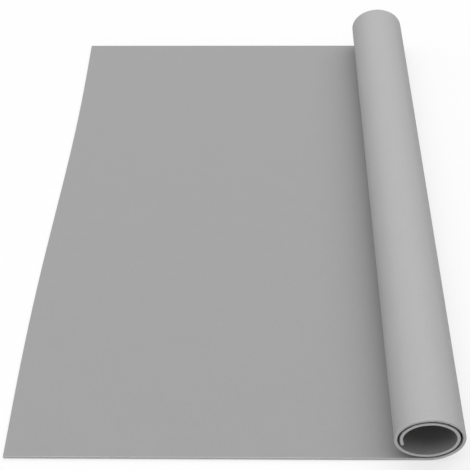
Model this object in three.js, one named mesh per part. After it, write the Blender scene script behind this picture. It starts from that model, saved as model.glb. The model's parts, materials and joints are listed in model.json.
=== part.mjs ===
// A silicone countertop mat: one plain sheet that lies flat, with a side edge rolled up into a loose scroll.
// Millimetres, +Z up, the scroll runs along Y, and the origin is under the middle of the mat's footprint.
import * as THREE from "three";

// The sheet
const MAT_LENGTH = 500;
const FLAT_WIDTH = 281.6; // from the plain side edge to the line where the scroll starts to rise
const THICKNESS = 2.2;

// The scroll: outside width and height of its oval end, the air between its two layers, and how far the sheet
// has turned from flat at its free edge inside
const ROLL_WIDTH = 47;
const ROLL_HEIGHT = 43.5;
const LAYER_GAP = 1.5;
const FREE_EDGE_TURN_DEG = 660;

// The scroll turns by the same angle at each flex line, with a strip of sheet between each two lines, which
// touches the smooth scroll along its middle
const CURL_STRIPS = 20;
const FLAT_SLIT = 0.2; // what is left between two strips on the underside when the mat lies flat

// The silicone
const COLOUR = 0xa5a5a5;
const ROUGHNESS = 0.75;

// The scroll's mid-plane winds inwards by one layer pitch in each full turn. Half axes of the oval that it
// starts on, which is wider and taller than the scroll by what the pitch takes off on the way round
const layerPitch = THICKNESS + LAYER_GAP;
const ovalAcross = (ROLL_WIDTH - THICKNESS + layerPitch) / 2;
const ovalUp = (ROLL_HEIGHT - THICKNESS + layerPitch / 2) / 2;

// The flat part takes the first half step of the turn and each strip one whole step
const bend = THREE.MathUtils.degToRad(FREE_EDGE_TURN_DEG) / (CURL_STRIPS + 0.5);
const slit = FLAT_SLIT + THICKNESS * Math.tan(bend / 2);

// The scroll's radius where the sheet has turned by a given angle from flat
function scrollRadius(turn) {
  const size = Math.hypot(ovalAcross * Math.sin(turn), ovalUp * Math.cos(turn));
  return (ovalAcross * ovalUp) ** 2 / size ** 3 - (layerPitch * turn) / (2 * Math.PI);
}

// One stretch of sheet on its mid-plane, from x = start to x = end. An end on a flex line is mitred by half
// the bend, so that neighbours face each other squarely across the slit. A plain end is cut square.
function sheetPiece(name, start, end, startsOnFlexLine, endsOnFlexLine) {
  const half = THICKNESS / 2;
  const lean = half * Math.tan(bend / 2);
  const back = slit / 2 / Math.cos(bend / 2);
  const startLean = startsOnFlexLine ? lean : 0;
  const startBack = startsOnFlexLine ? back : 0;
  const endLean = endsOnFlexLine ? lean : 0;
  const endBack = endsOnFlexLine ? back : 0;
  const section = new THREE.Shape([
    new THREE.Vector2(start + startBack - startLean, -half),
    new THREE.Vector2(end - endBack + endLean, -half),
    new THREE.Vector2(end - endBack - endLean, half),
    new THREE.Vector2(start + startBack + startLean, half),
  ]);
  const solid = new THREE.ExtrudeGeometry(section, { depth: MAT_LENGTH, bevelEnabled: false });
  solid.translate(0, 0, -MAT_LENGTH / 2);
  solid.rotateX(Math.PI / 2);
  const silicone = new THREE.MeshStandardMaterial({ color: COLOUR, roughness: ROUGHNESS, metalness: 0 });
  const piece = new THREE.Mesh(solid, silicone);
  piece.name = name;
  return piece;
}

// The flat part, with x = 0 where the scroll starts to rise
function flatPart() {
  const sheet = new THREE.Group();
  const firstFlexLine = scrollRadius(0) * Math.tan(bend / 2);
  sheet.position.z = THICKNESS / 2;
  sheet.add(sheetPiece("flat_panel", -FLAT_WIDTH, firstFlexLine, false, true));
  sheet.add(scroll(firstFlexLine));
  return sheet;
}

// The scroll's strips. Each one hangs on the flex line at the end of the one before it.
function scroll(firstFlexLine) {
  const strips = [];
  let lineX = firstFlexLine;
  for (let number = 1; number <= CURL_STRIPS; number += 1) {
    const last = number === CURL_STRIPS;
    const name = last ? "free_edge_strip" : `curl_strip_${String(number).padStart(2, "0")}`;
    const width = 2 * scrollRadius(number * bend) * Math.tan(bend / 2);
    const strip = new THREE.Group();
    strip.position.x = lineX;
    strip.rotation.y = -bend;
    strip.add(sheetPiece(name, 0, width, true, !last));
    strips.at(-1)?.add(strip);
    strips.push(strip);
    lineX = width;
  }
  return strips[0];
}

const mat = new THREE.Group();
mat.add(flatPart());
const footprint = new THREE.Box3().setFromObject(mat);
mat.position.x = -footprint.getCenter(new THREE.Vector3()).x;

export default mat;
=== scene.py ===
"""The silicone countertop mat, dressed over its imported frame: one smooth sheet that lies flat, with its
right side rolled up into a loose scroll of two layers.

Metres, in the frame's own axes: the scroll runs along Y and +Z is up."""

import json
import math
from collections import namedtuple

import bpy
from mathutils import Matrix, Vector


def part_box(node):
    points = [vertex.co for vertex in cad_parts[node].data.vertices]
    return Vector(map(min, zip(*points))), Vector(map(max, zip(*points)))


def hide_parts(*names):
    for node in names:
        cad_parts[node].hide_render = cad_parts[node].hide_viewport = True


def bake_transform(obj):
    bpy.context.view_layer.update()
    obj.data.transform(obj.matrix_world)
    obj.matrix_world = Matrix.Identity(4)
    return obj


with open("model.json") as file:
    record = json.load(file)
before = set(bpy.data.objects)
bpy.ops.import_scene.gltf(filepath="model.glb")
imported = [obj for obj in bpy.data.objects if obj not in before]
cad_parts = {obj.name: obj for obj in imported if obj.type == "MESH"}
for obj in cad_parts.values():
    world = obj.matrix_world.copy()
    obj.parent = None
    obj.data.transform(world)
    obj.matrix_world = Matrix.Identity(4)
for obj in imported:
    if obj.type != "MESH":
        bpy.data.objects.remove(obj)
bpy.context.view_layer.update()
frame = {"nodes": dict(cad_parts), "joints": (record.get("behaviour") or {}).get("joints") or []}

# The sheet's size and its flex lines come from the frame
flat_low, flat_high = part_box("flat_panel")
LENGTH = flat_high.y - flat_low.y
THICKNESS = flat_high.z - flat_low.z
MIDDLE_Z = (flat_low.z + flat_high.z) / 2
LEFT_EDGE_X = flat_low.x
flex_lines = [Vector((joint["pos_m"][0], joint["pos_m"][2])) for joint in frame["joints"]]
strip_names = [joint["child"] for joint in frame["joints"]]

# The sheet's rounded edges
EDGE_RADIUS = 0.0005
CORNER_STEPS = 3
SIDE_EDGE_ANGLES = (0, 30, 60, 85)  # degrees round a side edge, from the sheet's face to the tip

# The plain side edge is soft and lies in one slow wave: inwards in its far half, outwards in its near half
EDGE_WAVE = 0.002
EDGE_WAVE_REACH = 0.12  # how far into the sheet it goes

# How finely the sheet is drawn
LENGTH_STEPS = 25
FLAT_STEPS = 16
ARC_STEPS = 10
FREE_EDGE_SHARE = 0.9  # share of the last strip's reach beyond which its points lie on the cut edge
FACE_NORMAL = 0.99  # least height of the normals on the top face, and least depth of those on the underside

# The silicone on the sheet's three surfaces: linear grey level, roughness and strength of the grain
Finish = namedtuple("Finish", "name grey roughness grain")
FINISHES = (
    Finish("silicone_top", grey=0.35, roughness=0.72, grain=0.5),
    # painted highlight: lighter than the top's grey, partly the underside's own lighter silicone and partly
    # a highlight painted on the scroll's outside
    Finish("silicone_underside_painted_highlight", grey=0.44, roughness=0.62, grain=0.35),
    # painted light: lighter than the top's grey, so that the cut faces, which the light from behind leaves
    # in shade, look lit
    Finish("silicone_cut_edge_painted_light", grey=0.5, roughness=0.75, grain=0.7),
)
TOP_FACE, UNDERSIDE, CUT_EDGE = range(len(FINISHES))
SPECULAR_LEVEL = 0.35

# Broad, barely visible clouding, and how much it changes the grey and the roughness
CLOUD_SIZE = 0.045
CLOUD_DETAIL = 4
CLOUD_ROUGHNESS = 0.55
CLOUD_RANGE = (0.25, 0.75)
CLOUD_SHADE = 0.025
CLOUD_GLOSS = 0.05

# Fine moulded grain, and how much it changes the grey
GRAIN_SIZE = 0.0006
GRAIN_DETAIL = 2
GRAIN_ROUGHNESS = 0.6
GRAIN_DEPTH = 0.00005
GRAIN_SHADE = 0.06
NOISE_RANGE = (0.3, 0.7)  # where most of a noise lies

# The light, as shares of the level at which a colour renders as it is written, with its angles in degrees
AMBIENT_LIGHT = 0.16
OVERHEAD_LIGHT = 0.713
OVERHEAD_SPREAD = 96
OVERHEAD_FROM_RIGHT = 6  # shades the flat part left of the scroll
OVERHEAD_FROM_BEHIND = 22  # keeps most of it out of the scroll's open end
LEFT_LIGHT = 0.075
RIGHT_LIGHT = 0.01
SIDE_TILT = 65
SIDE_SPREAD = 50
FRONT_LIGHT = 0.019
FRONT_TILT = 88  # almost level, so that it lights the near cut faces and little else
FRONT_SPREAD = 12

# The floor
FLOOR_SIZE = 12
FLOOR_GAP = 0.0001  # keeps it clear of the mat's underside
FLOOR_REFLECTS = 0.2
FLOOR_GLOW = 0.65  # share of the floor's white that no shadow darkens

# The camera, fitted to the photograph's corners, edges and scroll outline
CAMERA_PLACE = (0.02386, -0.69451, 0.61062)
CAMERA_TURN = (47.516, 0.463, 0.663)  # degrees about X, Y and Z from looking straight down
CAMERA_LENS = 84.94
CAMERA_SENSOR = 36
CAMERA_SHIFT_X = -0.0386

# One cut across the sheet: where it is, which way the sheet runs there, how far along the sheet it is, and
# for the rounded side edges how far the cut is drawn in and how far its normals lean along the sheet
Station = namedtuple("Station", "point along place inset lean", defaults=(0.0, 0.0))


def free_edge_point():
    """The middle of the last strip's cut edge, as x and z."""
    strip = frame["nodes"][strip_names[-1]]
    points = [Vector((v.co.x, v.co.z)) for v in strip.data.vertices]
    reach = max((p - flex_lines[-1]).length for p in points)
    edge = [p for p in points if (p - flex_lines[-1]).length > FREE_EDGE_SHARE * reach]
    low = Vector((min(p.x for p in edge), min(p.y for p in edge)))
    high = Vector((max(p.x for p in edge), max(p.y for p in edge)))
    return (low + high) / 2


def border_points():
    """The middles of the strips, where one piece of the sheet meets the next, from the flat part on."""
    half_first = (flex_lines[1] - flex_lines[0]).length / 2
    borders = [flex_lines[0] - Vector((half_first, 0))]
    ends = flex_lines[1:] + [free_edge_point()]
    for line, end in zip(flex_lines, ends):
        borders.append((line + end) / 2)
    return borders


def rounded_edge(tip, along, place, side):
    """Stations round a cut side edge, from the full section to the tip. side is -1 at the left edge and
    1 at the free one."""
    stations = []
    for angle in SIDE_EDGE_ANGLES:
        lean = math.radians(angle)
        back = EDGE_RADIUS * (1 - math.sin(lean))
        inset = EDGE_RADIUS * (1 - math.cos(lean))
        point = tip - along * (side * back)
        stations.append(Station(point, along, place - side * back, inset, side * lean))
    return stations


def flat_stations(width):
    """The flat part, from its left edge to just before the first bend."""
    level = Vector((1, 0))
    left_edge = Vector((LEFT_EDGE_X, MIDDLE_Z))
    stations = rounded_edge(left_edge, level, 0.0, -1)[::-1]
    for step in range(1, FLAT_STEPS):
        place = width * step / FLAT_STEPS
        stations.append(Station(left_edge + level * place, level, place))
    return stations


def bend_stations(start, line, end, place):
    """The smooth bend from one strip's middle to the next, round the flex line between them."""
    stations = []
    last = start
    for step in range(ARC_STEPS + 1):
        t = step / ARC_STEPS
        point = start * (1 - t) ** 2 + line * (2 * t * (1 - t)) + end * t**2
        along = ((line - start) * (1 - t) + (end - line) * t).normalized()
        place += (point - last).length
        stations.append(Station(point, along, place))
        last = point
    return stations


def section(inset):
    """The outline of a cut across the sheet, top half and then underside. Each point has its y and height,
    and the y and height of its normal."""
    half_length = LENGTH / 2 - EDGE_RADIUS
    half_height = THICKNESS / 2 - EDGE_RADIUS
    radius = EDGE_RADIUS - inset
    quarter = [math.pi / 2 * step / CORNER_STEPS for step in range(CORNER_STEPS + 1)]
    top = []
    for turn in quarter:
        near, up = -math.cos(turn), math.sin(turn)
        top.append((radius * near - half_length, half_height + radius * up, near, up))
    for step in range(1, LENGTH_STEPS):
        top.append((half_length * (2 * step / LENGTH_STEPS - 1), half_height + radius, 0.0, 1.0))
    for turn in quarter:
        far, up = math.sin(turn), math.cos(turn)
        top.append((radius * far + half_length, half_height + radius * up, far, up))
    underside = [(y, -height, side, -up) for y, height, side, up in reversed(top)]
    return top + underside


def edge_wave(place, y):
    """How far a point lies out of line, along the sheet, because of the wave in the plain side edge."""
    fade = max(0.0, 1 - place / EDGE_WAVE_REACH)
    return EDGE_WAVE * fade**2 * math.sin(2 * math.pi * y / LENGTH)


def sheet_points(stations):
    """The points of a length of sheet, station by station, their normals and their places on the sheet."""
    points, normals, places = [], [], []
    for station in stations:
        across = Vector((-station.along.y, station.along.x))
        forward = Vector((station.along.x, 0, station.along.y))
        for y, height, normal_y, normal_height in section(station.inset):
            spot = station.point + across * height + station.along * edge_wave(station.place, y)
            points.append((spot.x, y, spot.y))
            outward = Vector((across.x * normal_height, normal_y, across.y * normal_height))
            normals.append(outward * math.cos(station.lean) + forward * math.sin(station.lean))
            places.append((station.place, y, height))
    return points, normals, places


def surface_kind(first_height, second_height):
    """Which finish the stretch between two points of the section has, from the heights of their normals."""
    if min(first_height, second_height) > FACE_NORMAL:
        return TOP_FACE
    if max(first_height, second_height) < -FACE_NORMAL:
        return UNDERSIDE
    return CUT_EDGE


def skin_faces(station_count, ring):
    """The faces from each station's ring of points to the next ring, and which finish each of them has."""
    heights = [normal_height for _, _, _, normal_height in section(0.0)]
    faces, kinds = [], []
    for row in range(station_count - 1):
        here = row * ring
        there = here + ring
        for spot in range(ring):
            other = (spot + 1) % ring
            faces.append((here + spot, there + spot, there + other, here + other))
            kinds.append(surface_kind(heights[spot], heights[other]))
    return faces, kinds


def end_faces(first, ring):
    """The faces that close a length of sheet at the ring that starts with this point, facing backwards."""
    last = first + ring - 1
    return [(first + n, first + n + 1, last - n - 1, last - n) for n in range(ring // 2 - 1)]


def sheet_piece(name, stations, materials):
    """A closed length of sheet that follows the stations."""
    points, normals, places = sheet_points(stations)
    ring = len(points) // len(stations)
    faces, kinds = skin_faces(len(stations), ring)
    corner_normals = [normals[point] for face in faces for point in face]

    start_faces = end_faces(0, ring)
    finish_faces = [face[::-1] for face in end_faces(len(points) - ring, ring)]
    for closing, station, facing in ((start_faces, stations[0], -1), (finish_faces, stations[-1], 1)):
        faces += closing
        kinds += [CUT_EDGE] * len(closing)
        normal = Vector((station.along.x, 0, station.along.y)) * facing
        corner_normals += [normal for face in closing for _ in face]

    mesh = bpy.data.meshes.new(name)
    mesh.from_pydata(points, [], faces)
    for material in materials:
        mesh.materials.append(material)
    mesh.polygons.foreach_set("material_index", kinds)
    mesh.polygons.foreach_set("use_smooth", [True] * len(faces))
    on_sheet = mesh.attributes.new("sheet_place", "FLOAT_VECTOR", "POINT")
    on_sheet.data.foreach_set("vector", [value for place in places for value in place])
    mesh.normals_split_custom_set(corner_normals)
    piece = bpy.data.objects.new(name, mesh)
    bpy.context.scene.collection.objects.link(piece)
    return piece


def noise(tree, place, size, detail, roughness):
    """A noise with features of this size, fixed to the sheet."""
    texture = tree.nodes.new("ShaderNodeTexNoise")
    texture.inputs["Scale"].default_value = 1 / size
    texture.inputs["Detail"].default_value = detail
    texture.inputs["Roughness"].default_value = roughness
    tree.links.new(place, texture.inputs["Vector"])
    return texture.outputs["Fac"]


def spread_noise(tree, value, low, high):
    """The noise drawn out, so that where most of it lies becomes low to high."""
    spread = tree.nodes.new("ShaderNodeMapRange")
    spread.inputs["From Min"].default_value = NOISE_RANGE[0]
    spread.inputs["From Max"].default_value = NOISE_RANGE[1]
    spread.inputs["To Min"].default_value = low
    spread.inputs["To Max"].default_value = high
    tree.links.new(value, spread.inputs["Value"])
    return spread.outputs["Result"]


def clouded_grey(tree, clouds, grey):
    """The grey, a little darker and lighter with the clouding."""
    ramp = tree.nodes.new("ShaderNodeValToRGB")
    shades = (1 - CLOUD_SHADE, 1 + CLOUD_SHADE)
    for element, position, shade in zip(ramp.color_ramp.elements, CLOUD_RANGE, shades):
        element.position = position
        element.color = [grey * shade] * 3 + [1]
    tree.links.new(clouds, ramp.inputs["Fac"])
    return ramp.outputs["Color"]


def silicone(finish):
    """Matte silicone with faint clouding, a fine moulded grain and slightly uneven gloss. On the underside
    and the cut edge its grey holds painted light.
    """
    material = bpy.data.materials.new(finish.name)
    material.use_nodes = True
    tree = material.node_tree
    shader = tree.nodes["Principled BSDF"]
    shader.inputs["Specular IOR Level"].default_value = SPECULAR_LEVEL

    on_sheet = tree.nodes.new("ShaderNodeAttribute")
    on_sheet.attribute_name = "sheet_place"
    place = on_sheet.outputs["Vector"]
    clouds = noise(tree, place, CLOUD_SIZE, CLOUD_DETAIL, CLOUD_ROUGHNESS)
    grain = noise(tree, place, GRAIN_SIZE, GRAIN_DETAIL, GRAIN_ROUGHNESS)

    colour = tree.nodes.new("ShaderNodeVectorMath")
    colour.operation = "SCALE"
    tree.links.new(clouded_grey(tree, clouds, finish.grey), colour.inputs[0])
    tree.links.new(spread_noise(tree, grain, 1 - GRAIN_SHADE, 1 + GRAIN_SHADE), colour.inputs["Scale"])
    tree.links.new(colour.outputs["Vector"], shader.inputs["Base Color"])

    smoothest = finish.roughness - CLOUD_GLOSS
    roughest = finish.roughness + CLOUD_GLOSS
    tree.links.new(spread_noise(tree, clouds, smoothest, roughest), shader.inputs["Roughness"])

    bump = tree.nodes.new("ShaderNodeBump")
    bump.inputs["Strength"].default_value = finish.grain
    bump.inputs["Distance"].default_value = GRAIN_DEPTH
    tree.links.new(grain, bump.inputs["Height"])
    tree.links.new(bump.outputs["Normal"], shader.inputs["Normal"])
    return material


def make_mat():
    """The pieces of the sheet: the flat part with the first bend, then one for each further flex line."""
    materials = [silicone(finish) for finish in FINISHES]
    bodies = ["flat_panel"] + strip_names
    borders = border_points()
    place = borders[0].x - LEFT_EDGE_X
    stations = flat_stations(place)
    pieces, piece_ends = [], []
    for number, line in enumerate(flex_lines):
        border, next_border = borders[number], borders[number + 1]
        stations += bend_stations(border, line, next_border, place)
        place = stations[-1].place
        if number == len(flex_lines) - 1:
            tip = free_edge_point()
            tip_place = place + (tip - next_border).length
            stations += rounded_edge(tip, stations[-1].along, tip_place, 1)
        name = f"mat_scroll_{number + 1:02d}" if pieces else "mat_flat_part"
        piece = sheet_piece(name, stations, materials)
        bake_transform(piece)
        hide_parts(bodies[number])
        pieces.append(piece)
        piece_ends.append(place)
        stations = []
    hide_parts(bodies[-1])


def seen_directly(tree):
    """1 for a ray from the camera, off gloss or through glass, which sees a thing itself. 0 for light."""
    path = tree.nodes.new("ShaderNodeLightPath")
    either = tree.nodes.new("ShaderNodeMath")
    either.operation = "MAXIMUM"
    tree.links.new(path.outputs["Is Camera Ray"], either.inputs[0])
    tree.links.new(path.outputs["Is Glossy Ray"], either.inputs[1])
    any_of = tree.nodes.new("ShaderNodeMath")
    any_of.operation = "MAXIMUM"
    tree.links.new(either.outputs["Value"], any_of.inputs[0])
    tree.links.new(path.outputs["Is Transmission Ray"], any_of.inputs[1])
    return any_of.outputs["Value"]


def level_by_ray(tree, seen, for_light, for_sight):
    """One level for rays that only carry light, and another for rays that see a surface directly."""
    level = tree.nodes.new("ShaderNodeMapRange")
    level.inputs["To Min"].default_value = for_light
    level.inputs["To Max"].default_value = for_sight
    tree.links.new(seen, level.inputs["Value"])
    return level.outputs["Result"]


def floor_white():
    """White to the eye, with a share that no shadow darkens, and darker in the light that it throws back."""
    material = bpy.data.materials.new("floor_white")
    material.use_nodes = True
    tree = material.node_tree
    tree.nodes.clear()
    seen = seen_directly(tree)
    diffuse = tree.nodes.new("ShaderNodeBsdfDiffuse")
    tree.links.new(level_by_ray(tree, seen, FLOOR_REFLECTS, 1.0), diffuse.inputs["Color"])
    glow = tree.nodes.new("ShaderNodeEmission")
    mix = tree.nodes.new("ShaderNodeMixShader")
    tree.links.new(level_by_ray(tree, seen, 0.0, FLOOR_GLOW), mix.inputs["Fac"])
    tree.links.new(diffuse.outputs["BSDF"], mix.inputs[1])
    tree.links.new(glow.outputs["Emission"], mix.inputs[2])
    output = tree.nodes.new("ShaderNodeOutputMaterial")
    tree.links.new(mix.outputs["Shader"], output.inputs["Surface"])
    return material


def make_floor():
    """A pale floor that keeps the mat's shadow."""
    half = FLOOR_SIZE / 2
    corners = [(-half, -half, 0), (half, -half, 0), (half, half, 0), (-half, half, 0)]
    mesh = bpy.data.meshes.new("floor")
    mesh.from_pydata(corners, [], [(0, 1, 2, 3)])
    mesh.materials.append(floor_white())
    floor = bpy.data.objects.new("floor", mesh)
    floor.location.z = -FLOOR_GAP
    bpy.context.scene.collection.objects.link(floor)


def soft_light(name, share, from_right, from_behind, spread):
    """A soft distant light, tilted from overhead, that adds this share of the plain level on the level."""
    across = math.radians(from_right)
    back = math.radians(from_behind)
    lamp = bpy.data.lights.new(name, "SUN")
    lamp.energy = math.pi * share / (math.cos(across) * math.cos(back))
    lamp.angle = math.radians(spread)
    light = bpy.data.objects.new(name, lamp)
    light.rotation_euler = (-back, across, 0)
    bpy.context.scene.collection.objects.link(light)


def make_light():
    """A very soft overhead light, faint ones from both sides and the front, and a low one from all round."""
    soft_light("overhead", OVERHEAD_LIGHT, OVERHEAD_FROM_RIGHT, OVERHEAD_FROM_BEHIND, OVERHEAD_SPREAD)
    soft_light("left_side", LEFT_LIGHT, -SIDE_TILT, 0, SIDE_SPREAD)
    soft_light("right_side", RIGHT_LIGHT, SIDE_TILT, 0, SIDE_SPREAD)
    soft_light("front", FRONT_LIGHT, 0, -FRONT_TILT, FRONT_SPREAD)

    world = bpy.data.worlds.new("studio")
    bpy.context.scene.world = world
    world.use_nodes = True
    tree = world.node_tree
    background = tree.nodes["Background"]
    background.inputs["Color"].default_value = (1, 1, 1, 1)
    level = level_by_ray(tree, seen_directly(tree), AMBIENT_LIGHT, 1.0)
    tree.links.new(level, background.inputs["Strength"])


def make_camera():
    """The photograph's view."""
    camera = bpy.data.objects.new("camera", bpy.data.cameras.new("camera"))
    camera.location = CAMERA_PLACE
    camera.rotation_euler = [math.radians(angle) for angle in CAMERA_TURN]
    camera.data.lens = CAMERA_LENS
    camera.data.sensor_width = CAMERA_SENSOR
    camera.data.shift_x = CAMERA_SHIFT_X
    bpy.context.scene.collection.objects.link(camera)
    bpy.context.scene.camera = camera


make_mat()
make_floor()
make_light()
make_camera()
bpy.context.scene.view_settings.view_transform = "Standard"
